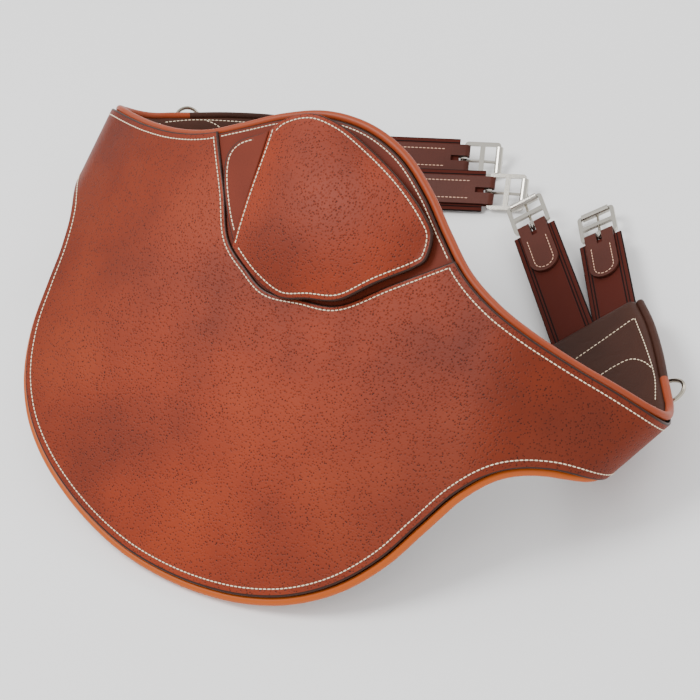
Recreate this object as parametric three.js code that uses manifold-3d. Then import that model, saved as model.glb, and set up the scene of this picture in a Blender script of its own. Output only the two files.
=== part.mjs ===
// A padded leather girth with a belly guard: a wide bib with a rounded lobe, two arms that curl
// round behind it, two elastic straps with roller buckles on each arm, and a flap over a ring.
//
// The leather is one bent sheet. Its flat pattern is drawn in (s, z): s runs across the girth from
// its centre line and z runs up towards the top edge. A third value, d, is the height above the
// outer face. sheet(s, z, d) bends that pattern into space, one rolled zone after another.
import * as THREE from 'three';
import { mergeVertices } from 'three/addons/utils/BufferGeometryUtils.js';
import Module from 'manifold-3d';

const wasm = await Module();
wasm.setup();

// ---------- driving dimensions, mm ----------
const GAP = 0.3; // air kept between touching pieces

// rolled zones of each arm, from the centre out: where the zone starts on the line BEND_LINE, how
// long it is, the angle it turns and the skew of its rulings from upright
const BEND_LINE = -120;
const BENDS = {
  left: [
    { start: 60, length: 180, angle: 0.413, skew: -0.247 },
    { start: 251.2, length: 55, angle: 0.935, skew: 0.292 },
    { start: 306.2, length: 55, angle: 1.212, skew: 0.292 },
  ],
  right: [
    { start: 190, length: 60, angle: 0.5, skew: -0.318 },
    { start: 244.1, length: 50, angle: 0.307, skew: 0.314 },
    { start: 294.1, length: 60, angle: 1.893, skew: 0.314 },
  ],
};

// half of the flat pattern; the other half is its mirror image
const ARM_END = 505;
const TOP_EDGE = [
  [0, 6], [39, 0], [75, -17], [107, -38], [139, -57], [173, -68],
  [210, -73], [248, -74], [286, -73], [324, -72], [361, -70], [398, -64],
  [435, -57], [474, -52], [505, -51],
];
const BOTTOM_EDGE = [
  [0, -373], [39, -370], [77, -362], [113, -349], [147, -329], [175, -302],
  [196, -268], [209, -232], [222, -197], [242, -167], [272, -147], [307, -136],
  [343, -130], [381, -130], [505, -131],
];
// edge of the outer panel round the flap; it runs out at the top edge at +-RECESS_HALF
const RECESS_HALF = 127;
const RECESS_EDGE = [
  [-87, -90], [-58, -123], [-31, -135], [-5, -142], [27, -134], [58, -124],
  [90, -90],
];

// layers, from the outer face inwards
const PANEL_THICK = 2;
const BASE_THICK = 1.6;
const FOAM_OUTER = -(PANEL_THICK + BASE_THICK + 2 * GAP);
const FOAM_THICK = 7.5;
const LINING_THICK = 1.8;
const FOAM_INSET = 14;
const BASE_LAP = 8;
const BASE_TOP_INSET = 2;
const BEAD_RADIUS = 4;
const BEAD_OUT = 2.5;
const BEAD_CENTRE = -PANEL_THICK - 0.45 - BEAD_RADIUS;

// flap over the centre ring, hinged along the line from HINGE_LOW to HINGE_HIGH
const FLAP_THICK = 3;
const FLAP_LIFT = 1.2; // underside above the outer face at the flap's edge
const FLAP_DOME = 12;
const HINGE_LOW = [-49, -123.5];
const HINGE_HIGH = [-74.5, -31];
const FLAP_EDGE = [
  [-47.5, -126.5], [-17, -137.5], [13, -141], [37, -131], [62, -120], [83, -94],
  [103, -69], [107.5, -61], [102, -42], [91, -33], [60, -18.5], [15, -6],
  [-20, -0.5], [-47, -3.5], [-68.5, -19], [-73, -28.5],
];
const TAB_EDGE = [
  [-50.5, -122.5], [-68.5, -106.5], [-94, -77], [-100, -62], [-96.5, -50], [-77, -34],
];
const FLAP_CENTRE = [16, -70];
const FLAP_REACH = [84, 72];

// straps: an elastic band, a leather chape folded round a roller buckle and its tongue
const ELASTIC_WIDTH = 39;
const ELASTIC_THICK = 2.2;
const ELASTIC_TUCK = 9; // length sewn in between face and lining
const STRAP_BEND = 12; // radius of the bend where the strap leaves the arm
const CHAPE_WIDTH = 26;
const CHAPE_THICK = 1.9;
const FOLD_INNER = 2.1;
const LONG_LEG = 72;
const ROUND_LEG = 56;
const SLOT_LENGTH = 13;
const SLOT_WIDTH = 5;
const BAR_BEYOND = 6; // base bar beyond the elastic's end
const WINDOW_WIDTH = 27;
const FRAME_WIRE = 3.6;
const BAR_SIZE = 2.6;
const GUARD_WIDTH = 4.4;
const BASE_TO_GUARD = 15.5;
const BASE_TO_ROLLER = 31;
const ROLLER_RADIUS = 3.4;
const ROLLER_BORE = 2.1;
const ROLLER_LENGTH = 25;
const TONGUE_WIRE = 2.8;
// z is the strap's middle on the arm's end and d its depth; swing turns it in the plane of the arm
// and pitch turns it towards the lining, in radians
const STRAPS = [
  { name: 'left_upper', side: -1, z: -77, d: -4.2, swing: -0.013, pitch: 0.41, length: 148, roundLegInside: false },
  { name: 'left_lower', side: -1, z: -109, d: -7.9, swing: -0.042, pitch: 0.505, length: 175, roundLegInside: false },
  { name: 'right_upper', side: 1, z: -72.3, d: -4.2, swing: -0.2, pitch: 0.08, length: 101, roundLegInside: true },
  { name: 'right_lower', side: 1, z: -109, d: -7.9, swing: -0.092, pitch: 0.23, length: 127, roundLegInside: true },
];

// rings
const RING_WIRE = 3.4;
const KEEPER_THICK = 1.4;
const SEAT_GAP = 0.5;
const ARM_RING_S = 400;
const ARM_RING_DROP = 3;
const ARM_RING_HALF = 12;
const ARM_RING_HEIGHT = 17;
const ARM_KEEPER_WIDTH = 14;
const ARM_KEEPER_LEG = 13;
const CENTRE_RING_AT = [8, -48];
const CENTRE_RING_HALF = 15;
const CENTRE_RING_HEIGHT = 24;
const CENTRE_KEEPER_WIDTH = 18;
const CENTRE_KEEPER_LEG = 20;

// fineness of the solids: [from, to, count] runs of rulings out from the centre line
const RULING_RUNS = [[0, 240, 15], [240, 400, 18], [400, ARM_END, 5]];
const SHEET_ROWS = 3;
const BEAD_SIDES = 6;
const FLAP_COLUMNS = 20;
const FLAP_ROWS = 7;
const TAB_COLUMNS = 10;

// resting attitude
const REST_TILT = -1.038;
const REST_LEAN = 0.111;

// finishes
const FACE_LEATHER = { color: 0xa54b32, roughness: 0.5, metalness: 0 };
const SMOOTH_LEATHER = { color: 0x8a3c28, roughness: 0.5, metalness: 0 };
const BEAD_LEATHER = { color: 0xc85a37, roughness: 0.45, metalness: 0 };
const LINING_LEATHER = { color: 0x553c32, roughness: 0.55, metalness: 0 };
const CHAPE_LEATHER = { color: 0x69463c, roughness: 0.5, metalness: 0 };
const TAN_LEATHER = { color: 0xa06446, roughness: 0.55, metalness: 0 };
const ELASTIC_WEB = { color: 0x6e3228, roughness: 0.8, metalness: 0 };
const FOAM = { color: 0xd8cdb4, roughness: 0.9, metalness: 0 };
const NICKEL = { color: 0xd8d4cc, roughness: 0.2, metalness: 1 };
const STEEL = { color: 0xa8a294, roughness: 0.3, metalness: 1 };

// ---------- the bent sheet ----------
function lookUp(table, s) {
  const last = table.length - 1;
  if (s <= table[0][0]) return table[0][1];
  if (s >= table[last][0]) return table[last][1];
  const i = table.findIndex(([knot]) => knot >= s);
  const [s0, v0] = table[i - 1];
  const [s1, v1] = table[i];
  return v0 + ((v1 - v0) * (s - s0)) / (s1 - s0);
}

const bendsOf = (side) => (side < 0 ? BENDS.left : BENDS.right);

// carry a point through one rolled zone; reach is how far out its place in the pattern lies
function rollUp(point, side, { start, length, angle, skew }, reach, z) {
  const run = (reach - start) * Math.cos(skew) - (z - BEND_LINE) * Math.sin(skew);
  if (run <= 0) return point;
  const across = new THREE.Vector3(side * Math.cos(skew), 0, -Math.sin(skew));
  const along = new THREE.Vector3(side * Math.sin(skew), 0, Math.cos(skew));
  const travel = Math.min(run, length);
  const turn = (angle * travel) / length;
  const radius = length / angle;
  const origin = new THREE.Vector3(side * start, 0, BEND_LINE);
  const rest = point.clone().sub(origin).addScaledVector(across, -travel);
  const u = rest.dot(across);
  const h = rest.y;
  return origin
    .addScaledVector(across, radius * Math.sin(turn) + u * Math.cos(turn) - h * Math.sin(turn))
    .addScaledVector(along, rest.dot(along))
    .add(new THREE.Vector3(0, radius * (1 - Math.cos(turn)) + u * Math.sin(turn) + h * Math.cos(turn), 0));
}

function sheet(s, z, d) {
  const side = s < 0 ? -1 : 1;
  const zones = bendsOf(side).toReversed();
  return zones.reduce((point, zone) => rollUp(point, side, zone, Math.abs(s), z), new THREE.Vector3(s, -d, z));
}

// a right-handed frame on the sheet: X along the pattern direction (ds, dz), Z out of the face
function sheetFrame(s, z, d, ds, dz) {
  const step = 2;
  const along = sheet(s + ds * step, z + dz * step, d).sub(sheet(s - ds * step, z - dz * step, d));
  const across = sheet(s - dz * step, z + ds * step, d).sub(sheet(s + dz * step, z - ds * step, d));
  const xAxis = along.normalize();
  const zAxis = new THREE.Vector3().crossVectors(xAxis, across).normalize();
  const yAxis = new THREE.Vector3().crossVectors(zAxis, xAxis);
  return new THREE.Matrix4().makeBasis(xAxis, yAxis, zAxis).setPosition(sheet(s, z, d));
}

// ---------- closed solids ----------
function signedVolume(points, triangles) {
  let volume = 0;
  for (const [a, b, c] of triangles) {
    volume += points[a].dot(new THREE.Vector3().crossVectors(points[b], points[c]));
  }
  return volume;
}

function closedGeometry(points, triangles) {
  const faces = signedVolume(points, triangles) > 0
    ? triangles
    : triangles.map(([a, b, c]) => [a, c, b]);
  const geometry = new THREE.BufferGeometry();
  geometry.setFromPoints(points);
  geometry.setIndex(faces.flat());
  return geometry;
}

// two facing grids of points, [column][row], closed by a wall round their rim
function slab(faceA, faceB) {
  const columns = faceA.length;
  const rows = faceA[0].length;
  const points = [...faceA.flat(), ...faceB.flat()];
  const a = (i, j) => i * rows + j;
  const b = (i, j) => columns * rows + i * rows + j;
  const triangles = [];
  for (let i = 0; i + 1 < columns; i += 1) {
    for (let j = 0; j + 1 < rows; j += 1) {
      triangles.push([a(i, j), a(i + 1, j), a(i + 1, j + 1)], [a(i, j), a(i + 1, j + 1), a(i, j + 1)]);
      triangles.push([b(i, j), b(i + 1, j + 1), b(i + 1, j)], [b(i, j), b(i, j + 1), b(i + 1, j + 1)]);
    }
  }
  for (let i = 0; i + 1 < columns; i += 1) {
    const top = rows - 1;
    triangles.push([a(i, 0), b(i, 0), b(i + 1, 0)], [a(i, 0), b(i + 1, 0), a(i + 1, 0)]);
    triangles.push([a(i, top), b(i + 1, top), b(i, top)], [a(i, top), a(i + 1, top), b(i + 1, top)]);
  }
  for (let j = 0; j + 1 < rows; j += 1) {
    const end = columns - 1;
    triangles.push([a(0, j), b(0, j + 1), b(0, j)], [a(0, j), a(0, j + 1), b(0, j + 1)]);
    triangles.push([a(end, j), b(end, j), b(end, j + 1)], [a(end, j), b(end, j + 1), a(end, j + 1)]);
  }
  return closedGeometry(points, triangles);
}

// rings of points joined in order, with a flat cap at each end
function sweep(rings) {
  const sides = rings[0].length;
  const points = rings.flat();
  const at = (i, j) => i * sides + (j % sides);
  const triangles = [];
  for (let i = 0; i + 1 < rings.length; i += 1) {
    for (let j = 0; j < sides; j += 1) {
      triangles.push([at(i, j), at(i + 1, j), at(i + 1, j + 1)], [at(i, j), at(i + 1, j + 1), at(i, j + 1)]);
    }
  }
  const end = rings.length - 1;
  for (let j = 1; j + 1 < sides; j += 1) {
    triangles.push([at(0, 0), at(0, j), at(0, j + 1)], [at(end, 0), at(end, j + 1), at(end, j)]);
  }
  return closedGeometry(points, triangles);
}

function toSolid(geometry) {
  const bare = geometry.clone();
  bare.deleteAttribute('normal');
  bare.deleteAttribute('uv');
  const merged = mergeVertices(bare, 1e-4);
  return new wasm.Manifold(new wasm.Mesh({
    numProp: 3,
    vertProperties: new Float32Array(merged.attributes.position.array),
    triVerts: new Uint32Array(merged.index.array),
  }));
}

function fromSolid(solid) {
  const mesh = solid.getMesh();
  const geometry = new THREE.BufferGeometry();
  geometry.setAttribute('position', new THREE.BufferAttribute(mesh.vertProperties, 3));
  geometry.setIndex(new THREE.BufferAttribute(mesh.triVerts, 1));
  return geometry;
}

function cut(geometry, ...cutters) {
  return fromSolid(cutters.reduce((solid, cutter) => solid.subtract(toSolid(cutter)), toSolid(geometry)));
}

function mesh(name, geometry, { color, roughness, metalness }) {
  const node = new THREE.Mesh(geometry, new THREE.MeshStandardMaterial({ color, roughness, metalness }));
  node.name = name;
  return node;
}

// ---------- outlines in the flat pattern ----------
const mirrored = (half) => [...half.slice(1).reverse().map(([s, z]) => [-s, z]), ...half];

function patternCurve(points) {
  const knots = points.map(([s, z]) => new THREE.Vector3(s, z, 0));
  return new THREE.CatmullRomCurve3(knots, false, 'centripetal');
}

// a point of an edge moved in by inset; inward is +1 for the bottom edge and -1 for the top edge
function insetPoint({ curve, inward }, place, inset) {
  const point = curve.getPointAt(place);
  const tangent = curve.getTangentAt(place);
  return [point.x - inward * inset * tangent.y, point.y + inward * inset * tangent.x];
}

// how far a zone's rulings lean outwards per unit of z, for a ruling that starts at reach
function leanAt(side, reach) {
  const [first, second, third] = bendsOf(side);
  const table = [
    [0, 0],
    [first.start, Math.tan(first.skew)],
    [second.start - 34, Math.tan(first.skew)],
    [second.start + 12, Math.tan(second.skew)],
    [third.start + third.length, Math.tan(third.skew)],
    [ARM_END, 0],
  ];
  return lookUp(table, reach);
}

// where a ruling, named by its s on BEND_LINE, stands at height z
function rulingAt(ruling, z) {
  const side = ruling < 0 ? -1 : 1;
  return ruling + side * leanAt(side, Math.abs(ruling)) * (z - BEND_LINE);
}

// how far along an edge that runs left to right a ruling crosses it
function placeOn(edge, ruling, inset) {
  let low = 0;
  let high = 1;
  for (let i = 0; i < 24; i += 1) {
    const middle = (low + high) / 2;
    const [s, z] = insetPoint(edge, middle, inset);
    if (s < rulingAt(ruling, z)) low = middle;
    else high = middle;
  }
  return (low + high) / 2;
}

const crossing = (edge, ruling, inset) => insetPoint(edge, placeOn(edge, ruling, inset), inset);

// the ruling that passes through a point of the pattern
function rulingThrough([s, z]) {
  let low = -ARM_END;
  let high = ARM_END;
  for (let i = 0; i < 24; i += 1) {
    const middle = (low + high) / 2;
    if (rulingAt(middle, z) < s) low = middle;
    else high = middle;
  }
  return (low + high) / 2;
}

const topEdge = { curve: patternCurve(mirrored(TOP_EDGE)), inward: -1 };
const bottomEdge = { curve: patternCurve(mirrored(BOTTOM_EDGE)), inward: 1 };

// where a line of constant s meets the top edge
function topAt(s) {
  let low = 0;
  let high = 1;
  for (let i = 0; i < 24; i += 1) {
    const middle = (low + high) / 2;
    if (topEdge.curve.getPointAt(middle).x < s) low = middle;
    else high = middle;
  }
  const { x, y } = topEdge.curve.getPointAt(low);
  return [x, y];
}

const recessCorners = [topAt(-RECESS_HALF), topAt(RECESS_HALF)];
const recessEdge = { curve: patternCurve([recessCorners[0], ...RECESS_EDGE, recessCorners[1]]), inward: -1 };
const recessRulings = recessCorners.map(rulingThrough);

function steps(from, to, count) {
  return Array.from({ length: count + 1 }, (_, i) => THREE.MathUtils.lerp(from, to, i / count));
}

// the rulings shared by every layer, left to right, with both recess corners among them
function sharedRulings() {
  const half = RULING_RUNS.flatMap(([from, to, count]) => steps(from, to, count).slice(1));
  const all = [...half.map((s) => -s), 0, ...half];
  const kept = all.filter((s) => recessRulings.every((corner) => Math.abs(corner - s) > 4));
  return [...kept, ...recessRulings].sort((a, b) => a - b);
}

const RULINGS = sharedRulings();

// rulings cut off at both ends of a layer that stops short of the arm's end
function rulingsWithin(inset) {
  const end = ARM_END - inset;
  return [-end, ...RULINGS.filter((s) => Math.abs(s) < end - 4), end];
}

// straight rows of points from each low point to its high point
function fillColumns(lows, highs, rows) {
  return lows.map((low, i) => steps(0, 1, rows).map((t) => [
    THREE.MathUtils.lerp(low[0], highs[i][0], t),
    THREE.MathUtils.lerp(low[1], highs[i][1], t),
  ]));
}

function wholeSheet(inset) {
  const rulings = rulingsWithin(inset);
  const lows = rulings.map((ruling) => crossing(bottomEdge, ruling, inset));
  const highs = rulings.map((ruling) => crossing(topEdge, ruling, inset));
  return fillColumns(lows, highs, SHEET_ROWS);
}

const lift = (grid, height) => grid.map((column) => column.map(([s, z]) => sheet(s, z, height(s, z))));
const flat = (d) => () => d;

function layer(grid, outer, thickness) {
  return slab(lift(grid, outer), lift(grid, (s, z) => outer(s, z) - thickness));
}

// ---------- leather body ----------
function outerPanel() {
  const [first, last] = recessRulings;
  const lows = RULINGS.map((ruling) => crossing(bottomEdge, ruling, 0));
  const highs = RULINGS.map((ruling) => {
    const open = ruling > first && ruling < last;
    return crossing(open ? recessEdge : topEdge, ruling, 0);
  });
  return mesh('outer_panel', layer(fillColumns(lows, highs, SHEET_ROWS), flat(0), PANEL_THICK), FACE_LEATHER);
}

function recessBase() {
  const first = rulingThrough(insetPoint(recessEdge, 0, BASE_LAP));
  const last = rulingThrough(insetPoint(recessEdge, 1, BASE_LAP));
  const inner = RULINGS.filter((s) => s > first + 1 && s < last - 1);
  const rulings = [first, ...inner, last];
  const lows = rulings.map((ruling) => crossing(recessEdge, ruling, BASE_LAP));
  const highs = rulings.map((ruling) => crossing(topEdge, ruling, BASE_TOP_INSET));
  const grid = fillColumns(lows, highs, SHEET_ROWS);
  return mesh('recess_base', layer(grid, flat(-PANEL_THICK - GAP), BASE_THICK), SMOOTH_LEATHER);
}

function foamCore() {
  return mesh('foam_core', layer(wholeSheet(FOAM_INSET), flat(FOAM_OUTER), FOAM_THICK), FOAM);
}

function innerLining() {
  const outer = FOAM_OUTER - FOAM_THICK - GAP;
  return mesh('inner_lining', layer(wholeSheet(0), flat(outer), LINING_THICK), LINING_LEATHER);
}

// a rolled bead that follows an edge just outside the panel, under its rim
function edgeRoll(name, edge) {
  const rings = RULINGS.map((ruling) => placeOn(edge, ruling, -BEAD_OUT)).map((place) => {
    return steps(0, 2 * Math.PI, BEAD_SIDES).slice(1).map((turn) => {
      const [s, z] = insetPoint(edge, place, BEAD_RADIUS * Math.cos(turn) - BEAD_OUT);
      return sheet(s, z, BEAD_CENTRE + BEAD_RADIUS * Math.sin(turn));
    });
  });
  return mesh(name, sweep(rings), BEAD_LEATHER);
}

// ---------- flap ----------
function hingePoint(t) {
  return [
    THREE.MathUtils.lerp(HINGE_LOW[0], HINGE_HIGH[0], t),
    THREE.MathUtils.lerp(HINGE_LOW[1], HINGE_HIGH[1], t),
  ];
}

// the flap's underside bulges over the ring and lies low along its rim
function flapUnderside(s, z) {
  const across = (s - FLAP_CENTRE[0]) / FLAP_REACH[0];
  const along = (z - FLAP_CENTRE[1]) / FLAP_REACH[1];
  const bulge = Math.max(0, 1 - across * across) * Math.max(0, 1 - along * along);
  return FLAP_LIFT + FLAP_DOME * bulge;
}

function flap() {
  const edge = patternCurve(FLAP_EDGE);
  const places = steps(0, 1, FLAP_COLUMNS);
  const hinge = places.map((t) => hingePoint(t)).map(([s, z]) => [s + GAP, z]);
  const rim = places.map((t) => edge.getPointAt(t)).map(({ x, y }) => [x, y]);
  const grid = fillColumns(hinge, rim, FLAP_ROWS);
  return mesh('flap', layer(grid, (s, z) => flapUnderside(s, z) + FLAP_THICK, FLAP_THICK), FACE_LEATHER);
}

function flapTab() {
  const edge = patternCurve(TAB_EDGE);
  const places = steps(0, 1, TAB_COLUMNS);
  const hinge = places.map((t) => hingePoint(t)).map(([s, z]) => [s - GAP, z]);
  const rim = places.map((t) => edge.getPointAt(t)).map(({ x, y }) => [x, y]);
  const top = FLAP_LIFT + FLAP_THICK;
  return mesh('flap_tab', layer(fillColumns(rim, hinge, 2), flat(top), top + PANEL_THICK), FACE_LEATHER);
}

// ---------- rings ----------
// a D-shaped ring in the XY plane: its straight bar lies on the X axis and its bow points along +Y
function dRing(name, halfWidth, height) {
  const corner = RING_WIRE;
  const bow = steps(0, Math.PI, 8).map((angle) => new THREE.Vector3(
    halfWidth * Math.cos(angle),
    corner + (height - corner) * Math.sin(angle),
    0,
  ));
  const bar = steps(corner - halfWidth, halfWidth - corner, 6).map((x) => new THREE.Vector3(x, 0, 0));
  const path = new THREE.CatmullRomCurve3([...bow, ...bar], true, 'centripetal');
  return mesh(name, new THREE.TubeGeometry(path, 32, RING_WIRE / 2, 6, true), STEEL);
}

// leather folded round a ring's bar; both legs run along -Y
function keeper(name, width, leg) {
  const inner = RING_WIRE / 2 + GAP;
  const outer = inner + KEEPER_THICK;
  return mesh(name, foldedStrip(width, leg, leg, inner, outer), TAN_LEATHER);
}

// a strip bent round the X axis: legs along -Y at +Z (front) and -Z (back)
function foldedStrip(width, frontLeg, backLeg, inner, outer) {
  const profile = new THREE.Shape();
  profile.moveTo(-frontLeg, outer);
  profile.lineTo(0, outer);
  profile.absarc(0, 0, outer, Math.PI / 2, -Math.PI / 2, true);
  profile.lineTo(-backLeg, -outer);
  profile.lineTo(-backLeg, -inner);
  profile.lineTo(0, -inner);
  profile.absarc(0, 0, inner, -Math.PI / 2, Math.PI / 2, false);
  profile.lineTo(-frontLeg, inner);
  const strip = new THREE.ExtrudeGeometry(profile, { depth: width, bevelEnabled: false, curveSegments: 8 });
  strip.translate(0, 0, -width / 2);
  // profile X becomes Y, profile Y becomes Z, the extrusion becomes X
  strip.applyMatrix4(new THREE.Matrix4().makeBasis(
    new THREE.Vector3(0, 1, 0),
    new THREE.Vector3(0, 0, 1),
    new THREE.Vector3(1, 0, 0),
  ));
  return strip;
}

function placed(name, frame, ...meshes) {
  const group = new THREE.Group();
  group.name = name;
  frame.decompose(group.position, group.quaternion, group.scale);
  group.add(...meshes);
  return group;
}

function armRing(side, word) {
  const [s, z] = topAt(side * ARM_RING_S);
  const bar = RING_WIRE / 2 + GAP + KEEPER_THICK + SEAT_GAP;
  const frame = sheetFrame(s, z - ARM_RING_DROP, bar, 1, 0);
  return placed(`${word}_ring_seat`, frame,
    dRing(`${word}_ring`, ARM_RING_HALF, ARM_RING_HEIGHT),
    keeper(`${word}_ring_keeper`, ARM_KEEPER_WIDTH, ARM_KEEPER_LEG));
}

function centreRing() {
  const bar = RING_WIRE / 2 + GAP + KEEPER_THICK + SEAT_GAP - PANEL_THICK - GAP;
  const frame = sheetFrame(CENTRE_RING_AT[0], CENTRE_RING_AT[1], bar, -1, 0);
  return placed('centre_ring_seat', frame,
    dRing('centre_ring', CENTRE_RING_HALF, CENTRE_RING_HEIGHT),
    keeper('centre_ring_keeper', CENTRE_KEEPER_WIDTH, CENTRE_KEEPER_LEG));
}

// ---------- straps ----------
// Strap frame: X runs out of the arm, Y across the strap, Z towards the lining side.
function elastic(name, pitch, length) {
  const stations = [{ x: -ELASTIC_TUCK, z: 0, angle: 0 }, ...steps(0, pitch, 4).map(strapBend), strapEnd(pitch, length)];
  const face = (h) => stations.map(({ x, z, angle }) => [-1, 1].map((edge) => new THREE.Vector3(
    x - h * Math.sin(angle),
    (edge * ELASTIC_WIDTH) / 2,
    z + h * Math.cos(angle),
  )));
  return mesh(name, slab(face(ELASTIC_THICK / 2), face(-ELASTIC_THICK / 2)), ELASTIC_WEB);
}

// a place on the strap's centre line where it has turned by angle towards the lining
function strapBend(angle) {
  return { x: STRAP_BEND * Math.sin(angle), z: STRAP_BEND * (1 - Math.cos(angle)), angle };
}

// a place on the straight run beyond the bend
function strapEnd(pitch, run) {
  const { x, z } = strapBend(pitch);
  return { x: x + run * Math.cos(pitch), z: z + run * Math.sin(pitch), angle: pitch };
}

// leather folded round the buckle's base bar, with a slot for the tongue and one rounded leg
function chape(name, roundLegInside) {
  const inner = FOLD_INNER;
  const outer = FOLD_INNER + CHAPE_THICK;
  const frontLeg = roundLegInside ? ROUND_LEG : LONG_LEG;
  const backLeg = roundLegInside ? LONG_LEG : ROUND_LEG;
  const strip = foldedStrip(CHAPE_WIDTH, frontLeg, backLeg, inner, outer);
  strip.rotateZ(-Math.PI / 2);
  const slot = new THREE.BoxGeometry(SLOT_LENGTH + 2 * outer, SLOT_WIDTH, 3 * outer);
  slot.translate(outer - SLOT_LENGTH / 2, 0, 0);
  return mesh(name, cut(strip, slot, roundedEndCutter(roundLegInside ? 1 : -1)), CHAPE_LEATHER);
}

// what is trimmed off a strap leg's end to leave a half round
function roundedEndCutter(side) {
  const half = CHAPE_WIDTH / 2;
  const shape = new THREE.Shape();
  shape.moveTo(-ROUND_LEG - 2, -half - 1);
  shape.lineTo(-ROUND_LEG + half, -half - 1);
  shape.lineTo(-ROUND_LEG + half, -half);
  shape.absarc(-ROUND_LEG + half, 0, half, -Math.PI / 2, Math.PI / 2, true);
  shape.lineTo(-ROUND_LEG + half, half + 1);
  shape.lineTo(-ROUND_LEG - 2, half + 1);
  const cutter = new THREE.ExtrudeGeometry(shape, { depth: 2 * CHAPE_THICK, bevelEnabled: false, curveSegments: 12 });
  cutter.translate(0, 0, side > 0 ? FOLD_INNER - GAP : -FOLD_INNER + GAP - 2 * CHAPE_THICK);
  return cutter;
}

function roundedRectangle(shape, x0, x1, half, radius) {
  shape.moveTo(x0 + radius, -half);
  shape.lineTo(x1 - radius, -half);
  shape.absarc(x1 - radius, -half + radius, radius, -Math.PI / 2, 0, false);
  shape.lineTo(x1, half - radius);
  shape.absarc(x1 - radius, half - radius, radius, 0, Math.PI / 2, false);
  shape.lineTo(x0 + radius, half);
  shape.absarc(x0 + radius, half - radius, radius, Math.PI / 2, Math.PI, false);
  shape.lineTo(x0, -half + radius);
  shape.absarc(x0 + radius, -half + radius, radius, Math.PI, 1.5 * Math.PI, false);
  return shape;
}

// frame with a base bar at x = 0, a guard bar and a roller bar
function buckleFrame(name) {
  const half = WINDOW_WIDTH / 2;
  const barHalf = BAR_SIZE / 2;
  const outline = roundedRectangle(new THREE.Shape(), -barHalf, BASE_TO_ROLLER + barHalf, half + FRAME_WIRE, 3.5);
  const guardLow = BASE_TO_GUARD - GUARD_WIDTH / 2;
  const guardHigh = BASE_TO_GUARD + GUARD_WIDTH / 2;
  outline.holes.push(roundedRectangle(new THREE.Path(), barHalf, guardLow, half, 0.8));
  outline.holes.push(roundedRectangle(new THREE.Path(), guardHigh, BASE_TO_ROLLER - barHalf, half, 0.8));
  const geometry = new THREE.ExtrudeGeometry(outline, { depth: BAR_SIZE, bevelEnabled: false, curveSegments: 3 });
  geometry.translate(0, 0, -barHalf);
  return mesh(name, geometry, NICKEL);
}

function roller(name) {
  const half = ROLLER_LENGTH / 2;
  const profile = [[ROLLER_BORE, -half], [ROLLER_RADIUS, -half], [ROLLER_RADIUS, half], [ROLLER_BORE, half], [ROLLER_BORE, -half]];
  const geometry = new THREE.LatheGeometry(profile.map(([r, y]) => new THREE.Vector2(r, y)), 14);
  const node = mesh(name, geometry, NICKEL);
  node.position.x = BASE_TO_ROLLER;
  return node;
}

// a wire loop round the base bar that runs on as the prong, past the guard bar, onto the roller
function tongue(name) {
  const hug = FOLD_INNER + TONGUE_WIRE / 2;
  const loop = steps(0.3 * Math.PI, 1.5 * Math.PI, 9).map((angle) => new THREE.Vector3(
    hug * Math.cos(angle),
    0,
    hug * Math.sin(angle),
  ));
  const guard = new THREE.Vector3(BASE_TO_GUARD, 0, -BAR_SIZE / 2 - 2 * GAP - TONGUE_WIRE / 2);
  const rest = -ROLLER_RADIUS - GAP - TONGUE_WIRE / 2;
  const tip = [new THREE.Vector3(BASE_TO_ROLLER, 0, rest), new THREE.Vector3(BASE_TO_ROLLER + 3, 0, rest)];
  const path = new THREE.CatmullRomCurve3([...loop, guard, ...tip], false, 'centripetal');
  const section = new THREE.Shape();
  section.absarc(0, 0, TONGUE_WIRE / 2, 0, 2 * Math.PI, false);
  const geometry = new THREE.ExtrudeGeometry(section, { steps: 18, curveSegments: 6, extrudePath: path });
  return mesh(name, geometry, NICKEL);
}

function strap({ name, side, z, d, swing, pitch, length, roundLegInside }) {
  // out of the arm's end, square to it; the frame's Z is turned to the lining side
  const frame = sheetFrame(side * ARM_END, z, d, side, 0);
  frame.multiply(new THREE.Matrix4().makeRotationX(Math.PI));
  frame.multiply(new THREE.Matrix4().makeRotationZ(swing));
  const buckle = new THREE.Group();
  buckle.name = `${name}_buckle_seat`;
  const bar = strapEnd(pitch, length + BAR_BEYOND);
  buckle.position.set(bar.x, 0, bar.z);
  buckle.rotation.y = -pitch;
  buckle.add(
    chape(`${name}_chape`, roundLegInside),
    buckleFrame(`${name}_buckle`),
    roller(`${name}_roller`),
    tongue(`${name}_tongue`),
  );
  return placed(`${name}_seat`, frame, elastic(`${name}_elastic`, pitch, length), buckle);
}

// ---------- assembly ----------
const girth = new THREE.Group();
girth.add(
  outerPanel(),
  recessBase(),
  foamCore(),
  innerLining(),
  edgeRoll('top_edge_roll', topEdge),
  edgeRoll('bottom_edge_roll', bottomEdge),
  flapTab(),
  flap(),
  centreRing(),
  armRing(-1, 'left'),
  armRing(1, 'right'),
  ...STRAPS.map(strap),
);

// stand it on the ground as it rests, with the middle of its footprint at the origin
girth.rotation.set(REST_TILT, REST_LEAN, 0, 'YXZ');
girth.updateMatrixWorld(true);
const box = new THREE.Box3().setFromObject(girth, true);
const middle = box.getCenter(new THREE.Vector3());
girth.position.set(-middle.x, -middle.y, -box.min.z);
const model = new THREE.Group();
model.name = 'belly_guard_girth';
model.add(girth);

export default model;
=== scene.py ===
import math

import bpy
import numpy as np
from mathutils import Matrix, Vector

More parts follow.
